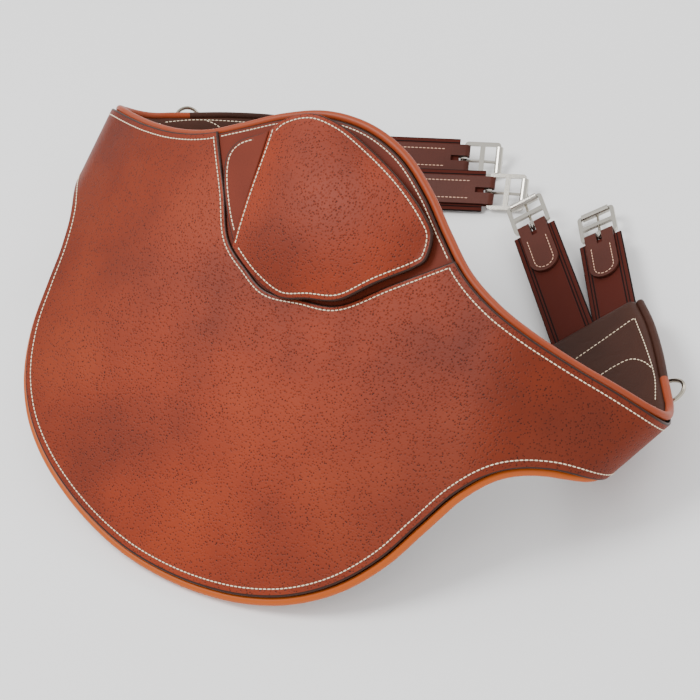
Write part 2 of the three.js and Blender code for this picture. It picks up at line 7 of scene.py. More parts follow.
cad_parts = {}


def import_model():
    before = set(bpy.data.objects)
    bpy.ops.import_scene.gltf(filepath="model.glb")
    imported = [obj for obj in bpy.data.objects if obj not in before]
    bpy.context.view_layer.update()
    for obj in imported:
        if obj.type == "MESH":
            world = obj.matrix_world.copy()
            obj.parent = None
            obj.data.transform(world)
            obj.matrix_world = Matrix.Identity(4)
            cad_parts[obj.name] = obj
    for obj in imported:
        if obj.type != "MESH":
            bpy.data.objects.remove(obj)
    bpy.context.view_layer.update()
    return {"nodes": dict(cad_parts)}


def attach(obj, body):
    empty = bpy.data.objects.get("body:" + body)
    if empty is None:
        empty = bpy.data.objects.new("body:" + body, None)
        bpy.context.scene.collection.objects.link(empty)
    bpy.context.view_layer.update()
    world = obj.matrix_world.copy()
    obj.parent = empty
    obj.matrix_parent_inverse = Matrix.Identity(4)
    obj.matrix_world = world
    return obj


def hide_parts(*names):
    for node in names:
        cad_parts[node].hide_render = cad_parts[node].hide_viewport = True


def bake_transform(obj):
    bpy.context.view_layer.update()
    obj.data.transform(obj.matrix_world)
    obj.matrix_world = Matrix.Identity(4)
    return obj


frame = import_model()
NODES = frame["nodes"]

# ---------- the bent sheet, as in the CAD part ----------
BEND_LINE = -120
BENDS = {
    -1: [(60, 180, 0.413, -0.247), (251.2, 55, 0.935, 0.292), (306.2, 55, 1.212, 0.292)],
    1: [(190, 60, 0.5, -0.318), (244.1, 50, 0.307, 0.314), (294.1, 60, 1.893, 0.314)],
}
REST_TILT = -1.038
REST_LEAN = 0.111
REST_SHIFT = (7.8075, 62.8539, 203.3862)
ARM_END = 505
TOP_EDGE = [
    (0, 6), (39, 0), (75, -17), (107, -38), (139, -57), (173, -68), (210, -73), (248, -74),
    (286, -73), (324, -72), (361, -70), (398, -64), (435, -57), (474, -52), (505, -51),
]
BOTTOM_EDGE = [
    (0, -373), (39, -370), (77, -362), (113, -349), (147, -329), (175, -302), (196, -268),
    (209, -232), (222, -197), (242, -167), (272, -147), (307, -136), (343, -130), (381, -130),
    (505, -131),
]
RECESS_HALF = 127
RECESS_EDGE = [(-87, -90), (-58, -123), (-31, -135), (-5, -142), (27, -134), (58, -124), (90, -90)]
HINGE_LOW = np.array((-49, -123.5))
HINGE_HIGH = np.array((-74.5, -31))
FLAP_EDGE = [
    (-47.5, -126.5), (-17, -137.5), (13, -141), (37, -131), (62, -120), (83, -94), (103, -69),
    (107.5, -61), (102, -42), (91, -33), (60, -18.5), (15, -6), (-20, -0.5), (-47, -3.5),
    (-68.5, -19), (-73, -28.5),
]
TAB_EDGE = [(-50.5, -122.5), (-68.5, -106.5), (-94, -77), (-100, -62), (-96.5, -50), (-77, -34)]
FLAP_CENTRE = (16, -70)
FLAP_REACH = (84, 72)
FLAP_TOP = 4.2
FLAP_DOME = 12
PANEL_THICK = 2.0
BASE_TOP = -2.3
BASE_THICK = 1.6
BASE_LAP = 8
FLAP_THICK = 3.0
TAB_THICK = 6.2
LINING_DEPTH = -13.8
BEAD_SHOWING = 3.4
BEAD_WRAPPED = 388
BEAD_OUT = 2.5
BEAD_CENTRE = -6.45
BEAD_SIDES = 18
LINING_RIM = -7.2
LINING_SWELL = 12
CHAPE_FACE = 4.06
STITCH_PITCH = 3.6
SEAM_INSET = 6
REST = np.array(Matrix.Rotation(REST_LEAN, 3, "Y") @ Matrix.Rotation(REST_TILT, 3, "X"))


def sheet(s, z, d):
    """Place points of the pattern in the row frame, in metres."""
    s, z, d = (np.asarray(v, float) for v in np.broadcast_arrays(s, z, d))
    p = np.stack([s, -d, z], -1)
    for side, zones in BENDS.items():
        for start, length, angle, skew in reversed(zones):
            across = np.array([side * math.cos(skew), 0, -math.sin(skew)])
            along = np.array([side * math.sin(skew), 0, math.cos(skew)])
            run = (s * side - start) * math.cos(skew) - (z - BEND_LINE) * math.sin(skew)
            mine = (s * side > 0) & (run > 0)
            travel = np.clip(run, 0, length)
            turn = angle * travel / length
            radius = length / angle
            origin = np.array([side * start, 0, BEND_LINE])
            rest = p - origin - travel[..., None] * across
            u, w, h = rest @ across, rest @ along, rest[..., 1]
            out = radius * np.sin(turn) + u * np.cos(turn) - h * np.sin(turn)
            back = radius * (1 - np.cos(turn)) + u * np.sin(turn) + h * np.cos(turn)
            moved = origin + out[..., None] * across + w[..., None] * along
            moved[..., 1] += back
            p = np.where(mine[..., None], moved, p)
    return (p @ REST.T + REST_SHIFT) / 1000


def spline(points, fine=16):
    """Centripetal Catmull-Rom through points, as a fine polyline."""
    k = np.array(points, float)
    k = np.vstack([2 * k[0] - k[1], k, 2 * k[-1] - k[-2]])
    out = []
    for a, b, c, e in zip(k, k[1:], k[2:], k[3:]):
        t0, t1, t2 = (max(np.linalg.norm(q - p) ** 0.5, 1e-6) for p, q in ((a, b), (b, c), (c, e)))
        m1 = ((b - a) / t0 - (c - a) / (t0 + t1) + (c - b) / t1) * t1
        m2 = ((c - b) / t1 - (e - b) / (t1 + t2) + (e - c) / t2) * t1
        t = np.linspace(0, 1, fine, endpoint=False)[:, None]
        out.append((2 * t**3 - 3 * t**2 + 1) * b + (t**3 - 2 * t**2 + t) * m1
                   + (3 * t**2 - 2 * t**3) * c + (t**3 - t**2) * m2)
    return np.vstack(out + [k[-2:-1]])


def mirrored(half):
    return [(-s, z) for s, z in half[:0:-1]] + list(half)


def offset(line, distance):
    """Move a polyline sideways to its left."""
    t = np.gradient(line, axis=0)
    t /= np.linalg.norm(t, axis=1, keepdims=True)
    return line + distance * np.stack([-t[:, 1], t[:, 0]], -1)


def lean_at(side, reach):
    first, second, third = BENDS[side]
    knots = [0, first[0], second[0] - 34, second[0] + 12, third[0] + third[1], ARM_END]
    leans = [0, math.tan(first[3]), math.tan(first[3]), math.tan(second[3]), math.tan(third[3]), 0]
    return np.interp(reach, knots, leans)


def ruling_at(ruling, z):
    ruling = np.asarray(ruling, float)
    lean = np.where(ruling < 0, -lean_at(-1, -ruling), lean_at(1, ruling))
    return ruling + lean * (z - BEND_LINE)


def ruling_through(points):
    low = np.full(len(points), -ARM_END - 20.0)
    high = -low
    for _ in range(30):
        middle = (low + high) / 2
        left = ruling_at(middle, points[:, 1]) < points[:, 0]
        low, high = np.where(left, middle, low), np.where(left, high, middle)
    return (low + high) / 2


def crossing(line, rulings):
    """Points where rulings cross a left-to-right polyline."""
    at = ruling_through(line)
    order = np.argsort(at)
    return np.stack([np.interp(rulings, at[order], line[order, k]) for k in (0, 1)], -1)


top_edge = spline(mirrored(TOP_EDGE))
bottom_edge = spline(mirrored(BOTTOM_EDGE))


def top_at(s):
    return (s, float(np.interp(s, top_edge[:, 0], top_edge[:, 1])))


recess_edge = spline([top_at(-RECESS_HALF), *RECESS_EDGE, top_at(RECESS_HALF)])
recess_ends = ruling_through(recess_edge[[0, -1]])


# ---------- meshes ----------
def make(name, verts, faces, materials, body, replaces=(), face_slots=None, smooth=True):
    data = bpy.data.meshes.new(name)
    data.from_pydata([tuple(v) for v in verts], [], faces)
    for m in materials:
        data.materials.append(m)
    if face_slots is not None:
        data.polygons.foreach_set("material_index", face_slots)
    data.polygons.foreach_set("use_smooth", [smooth] * len(faces))
    data.validate()
    piece = bpy.data.objects.new(name, data)
    bpy.context.collection.objects.link(piece)
    if body:
        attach(piece, body)
    if replaces:
        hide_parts(*replaces)
    return piece


def loft(loops, slots_of_strip):
    """Closed tube through equal loops of points; each strip round the loop has a material."""
    count, around = loops.shape[:2]
    verts = loops.reshape(-1, 3)
    i = np.arange(count - 1)[:, None] * around
    j = np.arange(around)[None]
    nxt = (j + 1) % around
    quads = np.stack([i + j, i + nxt, i + around + nxt, i + around + j], -1).reshape(-1, 4)
    slots = np.tile(slots_of_strip, count - 1).tolist()
    faces = quads.tolist()
    faces.append(list(range(around))[::-1])
    faces.append([(count - 1) * around + k for k in range(around)])
    slots += [slots_of_strip[-1]] * 2
    return verts, faces, slots


RIM = [(1.7, 0.0), (0.9, -0.1), (0.3, -0.45), (0.0, -1.0)]


def leather_sheet(lows, highs, top, thickness, rows):
    """Loops round a leather sheet with softened rims, one loop for each column."""
    span = np.linalg.norm(highs - lows, axis=1)
    room = np.minimum(span / 2.4, 1.0)
    loops = []
    t = np.linspace(0, 1, rows)
    t = 0.5 - 0.5 * np.cos(np.pi * t) * (1 - 0.35 * np.sin(np.pi * t) ** 2)
    margin = RIM[0][0]
    profile = [(0, inset, drop) for inset, drop in RIM[::-1]]
    profile += [(k, margin * (1 - 2 * k), 0) for k in t[1:-1]]
    profile += [(1, -inset, drop) for inset, drop in RIM]
    profile += [(1, 0, -thickness)] + [(k, 0, -thickness) for k in t[-2:0:-4]] + [(0, 0, -thickness)]
    for place, inset, drop in profile:
        along = place + inset * room / np.maximum(span, 0.1)
        point = lows + (highs - lows) * along[:, None]
        height = top(point[:, 0], point[:, 1])
        loops.append(sheet(point[:, 0], point[:, 1], height + drop))
    strips = np.zeros(len(profile), int)
    rim = len(RIM)
    strips[:rim - 1] = 1
    strips[rim + rows - 2:] = 1
    return np.stack(loops, 1), strips


def flat(d):
    return lambda s, z: np.full(np.shape(s), float(d))


# ---------- shader helpers ----------
def shader(name, color, rough, metal=0.0):
    mat = bpy.data.materials.new(name)
    mat.use_nodes = True
    tree = mat.node_tree
    bsdf = tree.nodes["Principled BSDF"]
    bsdf.inputs["Base Color"].default_value = (*color, 1)
    bsdf.inputs["Roughness"].default_value = rough
    bsdf.inputs["Metallic"].default_value = metal
    return mat, tree, bsdf


def link(tree, a, b):
    tree.links.new(a, b)


def node(tree, kind, **values):
    n = tree.nodes.new(kind)
    for key, value in values.items():
        if key in n.inputs:
            n.inputs[key].default_value = value
        else:
            setattr(n, key, value)
    return n


def ramp(tree, value, stops):
    n = tree.nodes.new("ShaderNodeValToRGB")
    elements = n.color_ramp.elements
    while len(elements) < len(stops):
        elements.new(0.5)
    for element, (at, color) in zip(elements, stops):
        element.position = at
        element.color = (*color, 1)
    link(tree, value, n.inputs["Fac"])
    return n.outputs["Color"]


def mix(tree, fac, a, b, blend="MIX"):
    n = node(tree, "ShaderNodeMix", data_type="RGBA", blend_type=blend)
    for socket, value in ((n.inputs[0], fac), (n.inputs[6], a), (n.inputs[7], b)):
        if isinstance(value, bpy.types.NodeSocket):
            link(tree, value, socket)
        elif isinstance(value, tuple):
            socket.default_value = (*value, 1)
        else:
            socket.default_value = value
    return n.outputs[2]


def bump(tree, height, strength, distance, normal=None):
    n = node(tree, "ShaderNodeBump", Strength=strength, Distance=distance)
    link(tree, height, n.inputs["Height"])
    if normal is not None:
        link(tree, normal, n.inputs["Normal"])
    return n.outputs["Normal"]


def leather(name, color, dark, light, rough=0.45, cell=2.4, pebble=0.6, pores=0.55, wrinkle=0.0, painted_end_shade=0.0):
    mat, tree, bsdf = shader(name, color, rough)
    place = node(tree, "ShaderNodeTexCoord").outputs["Object"]
    warp = node(tree, "ShaderNodeTexNoise", Scale=260.0, Detail=2.0)
    link(tree, place, warp.inputs["Vector"])
    shifted = node(tree, "ShaderNodeVectorMath", operation="MULTIPLY_ADD")
    link(tree, warp.outputs["Color"], shifted.inputs[0])
    shifted.inputs[1].default_value = (0.0016,) * 3
    link(tree, place, shifted.inputs[2])
    cells = node(tree, "ShaderNodeTexVoronoi", feature="F1", Scale=1000 / cell, Randomness=0.85)
    link(tree, shifted.outputs[0], cells.inputs["Vector"])
    broad = node(tree, "ShaderNodeTexNoise", Scale=9.0, Detail=3.0, Roughness=0.55)
    link(tree, place, broad.inputs["Vector"])
    fine = node(tree, "ShaderNodeTexNoise", Scale=900.0, Detail=3.0)
    link(tree, place, fine.inputs["Vector"])
    tone = ramp(tree, broad.outputs["Fac"], [(0.32, dark), (0.52, color), (0.72, light)])
    # painted shade: the colour is multiplied darker and bluer towards both ends of the girth (|X| from 0.05 m
    # to 0.25 m), where the arms turn away from the light; painted_end_shade sets how much
    apart = node(tree, "ShaderNodeSeparateXYZ")
    link(tree, place, apart.inputs[0])
    reach = node(tree, "ShaderNodeMath", operation="ABSOLUTE")
    link(tree, apart.outputs["X"], reach.inputs[0])
    shade = ramp(tree, reach.outputs[0], [(0.05, (1, 1, 1)), (0.25, (0.62, 0.66, 0.75))])
    tone = mix(tree, painted_end_shade, tone, shade, "MULTIPLY")
    pits = ramp(tree, cells.outputs["Distance"], [(0.18, (1, 1, 1)), (0.34, (0, 0, 0))])
    patch = node(tree, "ShaderNodeTexNoise", Scale=120.0, Detail=2.0)
    link(tree, place, patch.inputs["Vector"])
    showing = ramp(tree, patch.outputs["Fac"], [(0.35, (pores * 0.6,) * 3), (0.62, (pores,) * 3)])
    weight = node(tree, "ShaderNodeMath", operation="MULTIPLY")
    link(tree, pits, weight.inputs[0])
    link(tree, showing, weight.inputs[1])
    deep = tuple(c * 0.16 for c in color)
    link(tree, mix(tree, weight.outputs[0], tone, deep), bsdf.inputs["Base Color"])
    domes = ramp(tree, cells.outputs["Distance"], [(0.1, (0, 0, 0)), (0.5, (1, 1, 1))])
    normal = bump(tree, domes, pebble, 0.00022)
    normal = bump(tree, fine.outputs["Fac"], 0.25, 0.0001, normal)
    if wrinkle:
        creases = node(tree, "ShaderNodeTexNoise", Scale=70.0, Detail=4.0, Distortion=1.2)
        link(tree, place, creases.inputs["Vector"])
        normal = bump(tree, creases.outputs["Fac"], wrinkle, 0.0012, normal)
    link(tree, normal, bsdf.inputs["Normal"])
    bsdf.inputs["Specular IOR Level"].default_value = 0.16
    return mat


def plain(name, color, rough, metal=0.0, grain=0.0, scale=800.0):
    mat, tree, bsdf = shader(name, color, rough, metal)
    bsdf.inputs["Specular IOR Level"].default_value = 0.5 if metal else 0.25
    if grain:
        place = node(tree, "ShaderNodeTexCoord").outputs["Object"]
        noise = node(tree, "ShaderNodeTexNoise", Scale=scale, Detail=3.0)
        link(tree, place, noise.inputs["Vector"])
        link(tree, bump(tree, noise.outputs["Fac"], grain, 0.0002), bsdf.inputs["Normal"])
    return mat


# the face leather takes the full painted end shade on its arms
FACE = leather("face_leather", (0.235, 0.030, 0.008), (0.160, 0.022, 0.008), (0.285, 0.040, 0.010),
               rough=0.46, cell=2.1, pebble=1.0, pores=1.0, painted_end_shade=1.0)
SMOOTH = leather("smooth_leather", (0.135, 0.020, 0.008), (0.10, 0.016, 0.007), (0.17, 0.025, 0.010),
                 rough=0.6, cell=1.2, pebble=0.2, pores=0.15)
LINING = leather("lining_leather", (0.048, 0.015, 0.008), (0.034, 0.011, 0.006), (0.060, 0.019, 0.010),
                 rough=0.5, cell=1.5, pebble=0.25, pores=0.2, wrinkle=0.35)
CHAPE = leather("chape_leather", (0.085, 0.022, 0.014), (0.065, 0.017, 0.011), (0.105, 0.028, 0.018),
                rough=0.45, cell=1.3, pebble=0.3, pores=0.3)
TAN = leather("tan_leather", (0.36, 0.13, 0.065), (0.28, 0.10, 0.05), (0.42, 0.16, 0.08),
              rough=0.5, cell=1.2, pebble=0.25, pores=0.15)
# the top and bottom beads are the same leather: the top copy is painted darker and duller as painted shade,
# the bottom copy brighter and more orange as painted light
TOP_BEAD_SHADED = plain("top_bead_leather_shaded", (0.30, 0.050, 0.014), 0.42, grain=0.25, scale=500.0)
LOW_BEAD_LIT = plain("low_bead_leather_lit", (0.45, 0.085, 0.006), 0.42, grain=0.25, scale=500.0)
EDGE = plain("edge_paint", (0.030, 0.010, 0.006), 0.4, grain=0.3)
THREAD = plain("thread", (0.97, 0.80, 0.58), 0.6, grain=0.3, scale=3000.0)
PEACH_THREAD = plain("peach_thread", (0.85, 0.52, 0.36), 0.6, grain=0.3, scale=3000.0)
# painted shade: a dark strip under each row of stitches stands in for the shade in the stitch groove
GROOVE_SHADE = plain("stitch_groove_shade", (0.13, 0.032, 0.016), 0.6)
FOAM = plain("foam", (0.6, 0.55, 0.42), 0.9)
NICKEL = plain("nickel", (0.56, 0.53, 0.47), 0.2, metal=1.0, grain=0.03, scale=300.0)
STEEL = plain("aged_steel", (0.42, 0.38, 0.31), 0.26, metal=1.0, grain=0.15, scale=600.0)


def elastic_material():
    """Ribbed webbing; the UV map gives the place along and across it in units of its width."""
    mat, tree, bsdf = shader("elastic_web", (0.12, 0.030, 0.020), 0.75)
    uv = node(tree, "ShaderNodeUVMap", uv_map="UVMap").outputs["UV"]
    split = node(tree, "ShaderNodeSeparateXYZ")
    link(tree, uv, split.inputs[0])
    web, stripe = (0.085, 0.014, 0.008), (0.004, 0.002, 0.002)
    band = [(0.0, stripe), (0.02, web), (0.09, stripe), (0.12, web), (0.16, stripe), (0.19, web),
            (0.5, web), (0.81, stripe), (0.84, web), (0.88, stripe), (0.91, web), (0.98, stripe)]
    color = ramp(tree, split.outputs["Y"], band)
    tree.nodes[-1].color_ramp.interpolation = "CONSTANT"
    rib = node(tree, "ShaderNodeTexWave", Scale=34.0, Distortion=0.3)
    link(tree, uv, rib.inputs["Vector"])
    speck = node(tree, "ShaderNodeTexNoise", Scale=90.0, Detail=2.0)
    link(tree, uv, speck.inputs["Vector"])
    shade = ramp(tree, speck.outputs["Fac"], [(0.3, (0.7, 0.7, 0.7)), (0.7, (1.15, 1.1, 1.05))])
    link(tree, mix(tree, 1.0, color, shade, "MULTIPLY"), bsdf.inputs["Base Color"])
    link(tree, bump(tree, rib.outputs["Fac"], 0.4, 0.0003), bsdf.inputs["Normal"])
    bsdf.inputs["Specular IOR Level"].default_value = 0.15
    return mat


ELASTIC = elastic_material()


# ---------- stitching ----------
def stitch_rows(name, centres, along, normals, body, length=2.75, radius=0.45, thread=None,
                slot="face_leather"):
    """Short rounded threads, each lying along its own direction, as one piece."""
    shapes = [(-0.5, 0.35), (-0.42, 0.8), (-0.2, 1.0), (0.2, 1.0), (0.42, 0.8), (0.5, 0.35)]
    turns = np.linspace(0, 2 * np.pi, 8, endpoint=False)
    along = along / np.linalg.norm(along, axis=1, keepdims=True)
    side = np.cross(along, normals)
    side /= np.linalg.norm(side, axis=1, keepdims=True)
    up = np.cross(side, along)
    verts, faces = [], []
    for c, a, b, n in zip(centres, along, side, up):
        base = len(verts)
        for place, fat in shapes:
            sink = -0.35 * (2 * place) ** 4 * radius
            for turn in turns:
                verts.append(c + (a * place * length + b * fat * radius * math.cos(turn)
                                  + n * (0.75 * fat * radius * math.sin(turn) + sink)) / 1000)
        for k in range(len(shapes) - 1):
            for j in range(8):
                q = (j + 1) % 8
                faces.append((base + 8 * k + j, base + 8 * k + q, base + 8 * k + 8 + q, base + 8 * k + 8 + j))
        faces.append(tuple(base + j for j in range(8))[::-1])
        faces.append(tuple(base + 8 * (len(shapes) - 1) + j for j in range(8)))
    return make(name, verts, faces, [thread or THREAD], body)


def resample(line, pitch):
    steps = np.r_[0, np.cumsum(np.linalg.norm(np.diff(line, axis=0), axis=1))]
    at = np.arange(pitch / 2, steps[-1], pitch)
    return np.stack([np.interp(at, steps, line[:, k]) for k in (0, 1)], -1)


def seam(name, line, height, body, slot="face_leather", outward=1, groove_shade=True, **size):
    """Stitches along a polyline of the pattern, with a dark strip of painted shade standing in for their
    groove.
    """
    height = height if callable(height) else flat(height)
    dense = resample(np.asarray(line, float), STITCH_PITCH / 3)
    at = dense[1::3]
    nxt, prev = dense[2::3], dense[0::3]
    n = min(len(at), len(nxt), len(prev))
    at, nxt, prev = at[:n], nxt[:n], prev[:n]
    lift = height(at[:, 0], at[:, 1]) + 0.12 * outward
    centre = sheet(at[:, 0], at[:, 1], lift)
    ahead = sheet(nxt[:, 0], nxt[:, 1], height(nxt[:, 0], nxt[:, 1]) + 0.12 * outward)
    behind = sheet(prev[:, 0], prev[:, 1], height(prev[:, 0], prev[:, 1]) + 0.12 * outward)
    above = sheet(at[:, 0], at[:, 1], lift + outward)
    stitch_rows(name, centre, ahead - behind, above - centre, body, slot=slot, **size)
    if groove_shade:
        # painted shade: a flat dark strip 1.5 mm wide, just above the leather, in place of the shaded stitch
        # groove
        edges = [offset(dense, d) for d in (0.75, -0.75)]
        verts = np.vstack([sheet(e[:, 0], e[:, 1], height(e[:, 0], e[:, 1]) + 0.03 * outward) for e in edges])
        m = len(dense)
        faces = [(i, i + 1, m + i + 1, m + i) for i in range(m - 1)]
        make(name + "_groove_shade", verts, faces, [GROOVE_SHADE], body)


# ---------- leather body ----------
def rulings(count, inset=0.0, extra=()):
    return np.sort(np.r_[np.linspace(-ARM_END + inset, ARM_END - inset, count), list(extra)])


def outer_panel():
    at = rulings(420, extra=recess_ends)
    lows = crossing(bottom_edge, at)
    highs = crossing(top_edge, at)
    open_part = (at > recess_ends[0]) & (at < recess_ends[1])
    highs[open_part] = crossing(recess_edge, at[open_part])
    loops, strips = leather_sheet(lows, highs, flat(0), PANEL_THICK, 40)
    verts, faces, slots = loft(loops, strips)
    make("panel_skin", verts, faces, [FACE, EDGE], "leather", ["outer_panel"], slots)


def recess_floor():
    low_edge = offset(recess_edge, -BASE_LAP)
    ends = ruling_through(low_edge[[0, -1]])
    at = np.linspace(ends[0], ends[1], 120)
    loops, strips = leather_sheet(crossing(low_edge, at), crossing(offset(top_edge, -1.2), at),
                                  flat(BASE_TOP), BASE_THICK, 24)
    verts, faces, slots = loft(loops, strips)
    make("recess_skin", verts, faces, [SMOOTH, EDGE], "leather", ["recess_base"], slots)


def edge_distance(s, z):
    """Distance to the nearest outline, roughly, in the pattern."""
    low = z - np.interp(s, bottom_edge[:, 0], bottom_edge[:, 1])
    high = np.interp(s, top_edge[:, 0], top_edge[:, 1]) - z
    return np.minimum(np.minimum(low, high), (ARM_END + 4 - np.abs(s)) * 1.4)


def padding(s, z):
    """Depth of the lining's padded face: shallow at the rim, full over the foam."""
    t = np.clip(edge_distance(s, z) / LINING_SWELL, 0, 1)
    swell = np.sqrt(1 - (1 - t) ** 2)
    return LINING_RIM + (LINING_DEPTH - LINING_RIM) * swell


def lining():
    at = rulings(420)
    lows = crossing(bottom_edge, at)
    highs = crossing(top_edge, at)
    t = np.r_[0, 0.004, 0.012, 0.025, 0.045, 0.07, 0.1, 0.14, 0.18, np.linspace(0.22, 0.78, 24),
              0.82, 0.86, 0.9, 0.93, 0.955, 0.975, 0.988, 0.996, 1]
    loops = []
    for place in t:
        p = lows + (highs - lows) * place
        loops.append(sheet(p[:, 0], p[:, 1], padding(p[:, 0], p[:, 1])))
    for place in t[::-6]:
        p = lows + (highs - lows) * place
        loops.append(sheet(p[:, 0], p[:, 1], padding(p[:, 0], p[:, 1]) + 1.4))
    loops = np.stack(loops, 1)
    verts, faces, slots = loft(loops, np.zeros(loops.shape[1], int))
    piece = make("lining_pad", verts, faces, [LINING], "leather", ["inner_lining"], slots)


def bead(name, edge, inward, material):
    at = rulings(360)
    path = crossing(edge, at)
    tangent = np.gradient(path, axis=0)
    tangent /= np.linalg.norm(tangent, axis=1, keepdims=True)
    out = -inward * np.stack([-tangent[:, 1], tangent[:, 0]], -1)
    loops = []
    for turn in np.linspace(0, 2 * np.pi, BEAD_SIDES, endpoint=False):
        p = path + out * (BEAD_OUT + BEAD_SHOWING * math.cos(turn))
        loops.append(sheet(p[:, 0], p[:, 1], BEAD_CENTRE + BEAD_SHOWING * math.sin(turn)))
    verts, faces, _ = loft(np.stack(loops, 1), np.zeros(BEAD_SIDES, int))
    beyond = (np.abs(at[:-1]) > BEAD_WRAPPED).astype(int)
    wrapped = np.repeat(beyond, BEAD_SIDES).tolist() + [1, 1]
    make(name + "_skin", verts, faces, [material, LINING], "leather", [name], wrapped)


# ---------- flap ----------
def flap_height(s, z):
    across = np.maximum(0, 1 - ((s - FLAP_CENTRE[0]) / FLAP_REACH[0]) ** 2)
    along = np.maximum(0, 1 - ((z - FLAP_CENTRE[1]) / FLAP_REACH[1]) ** 2)
    return FLAP_TOP + FLAP_DOME * across * along


def even(line, count):
    steps = np.r_[0, np.cumsum(np.linalg.norm(np.diff(line, axis=0), axis=1))]
    at = np.linspace(0, steps[-1], count)
    return np.stack([np.interp(at, steps, line[:, k]) for k in (0, 1)], -1)


def flap():
    rim = even(spline(FLAP_EDGE), 160)
    hinge = HINGE_LOW + (HINGE_HIGH - HINGE_LOW) * np.linspace(0, 1, 160)[:, None] + (0.3, 0)
    loops, strips = leather_sheet(hinge, rim, flap_height, FLAP_THICK, 60)
    strips[:3] = 0
    verts, faces, slots = loft(loops, strips)
    make("flap_skin", verts, faces, [FACE, EDGE], "flap", ["flap"], slots)
    outline = spline(FLAP_EDGE, 24)
    seam("flap_stitches", offset(outline, 4.2)[3:-3], flap_height, "flap")
    line = np.linspace(HINGE_LOW + (2.6, 1), HINGE_HIGH + (2.6, 3), 60)
    seam("flap_hinge_stitches", line, flap_height, "flap")


def tab():
    rim = even(spline(TAB_EDGE), 60)
    hinge = HINGE_LOW + (HINGE_HIGH - HINGE_LOW) * np.linspace(0, 1, 60)[:, None] - (0.3, 0)
    loops, strips = leather_sheet(rim, hinge, flat(FLAP_TOP), TAB_THICK, 20)
    strips[22:] = 0
    verts, faces, slots = loft(loops, strips)
    make("flap_tab_skin", verts, faces, [SMOOTH, EDGE], "leather", ["flap_tab"], slots)
    seam("flap_tab_stitches", offset(spline(TAB_EDGE), -3.6)[6:-6], FLAP_TOP, "leather", "smooth_leather")


# ---------- seams of the body ----------
def body_seams():
    seam("bottom_stitches", offset(bottom_edge, SEAM_INSET)[4:-4], 0, "leather")
    left = top_edge[top_edge[:, 0] < -RECESS_HALF]
    right = top_edge[top_edge[:, 0] > RECESS_HALF]
    seam("top_left_stitches", offset(left, -SEAM_INSET)[3:], 0, "leather")
    seam("top_right_stitches", offset(right, -SEAM_INSET)[:-3], 0, "leather")
    seam("recess_stitches", offset(recess_edge, -4)[1:-1], 0, "leather")
    middle = top_edge[np.abs(top_edge[:, 0]) < RECESS_HALF - 1]
    seam("recess_top_stitches", offset(middle, -4.5), BASE_TOP, "leather", "smooth_leather")
    for side, word in ((-1, "left"), (1, "right")):
        end = np.linspace((side * (ARM_END - 5), -56), (side * (ARM_END - 5), -126), 30)
        seam(word + "_end_stitches", end, 0, "leather")
    size = {"length": 2.6, "radius": 0.42}
    inner_top = offset(top_edge, -7)
    lining_rim = [
        ("lining_bottom", offset(bottom_edge, 7)[4:-4]),
        ("lining_top", inner_top[np.abs(inner_top[:, 0]) < 374]),
    ]
    for name, line in lining_rim:
        seam(name + "_stitches", line, padding, "leather", "lining_leather",
             outward=-1, groove_shade=False, **size)
    for side, word in ((-1, "left"), (1, "right")):
        down = [(side * 470, -122), (side * 476, -86), (side * 481, -58)]
        across = [(side * 481, -58), (side * 442, -61), (side * 404, -66), (side * 376, -74)]
        vee = np.vstack([spline(down), spline(across)])
        bend = [(434, -120), (438, -90), (436, -76), (426, -68), (414, -64)]
        curve = spline([(side * s, z) for s, z in bend])
        for name, line in (("vee", vee), ("curve", curve)):
            seam(f"{word}_lining_{name}_stitches", line, padding, "leather", "lining_leather",
                 outward=-1, groove_shade=False, **size)


# ---------- straps ----------
STRAPS = {
    "left_upper": {"side": -1, "z": -77, "d": -4.2, "swing": -0.013, "pitch": 0.41, "length": 148},
    "left_lower": {"side": -1, "z": -109, "d": -7.9, "swing": -0.042, "pitch": 0.505, "length": 175},
    "right_upper": {"side": 1, "z": -72.3, "d": -4.2, "swing": -0.2, "pitch": 0.08, "length": 101},
    "right_lower": {"side": 1, "z": -109, "d": -7.9, "swing": -0.092, "pitch": 0.23, "length": 127},
}
STRAP_BEND = 12
ELASTIC_WIDTH = 39
BAR_BEYOND = 6


def unit(v):
    return v / np.linalg.norm(v)


def seat_frame(side, z, d, swing, **_):
    """Origin and axes of a strap where it leaves the arm: X out, Y across, Z to the lining."""
    step = 2
    origin = sheet(side * ARM_END, z, d)
    x = unit(sheet(side * (ARM_END + step), z, d) - sheet(side * (ARM_END - step), z, d))
    y = sheet(side * ARM_END, z + side * step, d) - sheet(side * ARM_END, z - side * step, d)
    up = unit(np.cross(x, y))
    axes = np.stack([x, np.cross(up, x), up], 1) @ np.array(Matrix.Rotation(math.pi, 3, "X"))
    return origin, axes @ np.array(Matrix.Rotation(swing, 3, "Z"))


def strap_place(pitch, run):
    """Centre line of a strap in its seat's XZ plane: place and heading at a run from the arm."""
    bend = STRAP_BEND * pitch
    if run <= 0:
        return run, 0.0, 0.0
    angle = min(run, bend) / STRAP_BEND
    rest = max(0.0, run - bend)
    x = STRAP_BEND * math.sin(angle) + rest * math.cos(angle)
    return x, STRAP_BEND * (1 - math.cos(angle)) + rest * math.sin(angle), angle


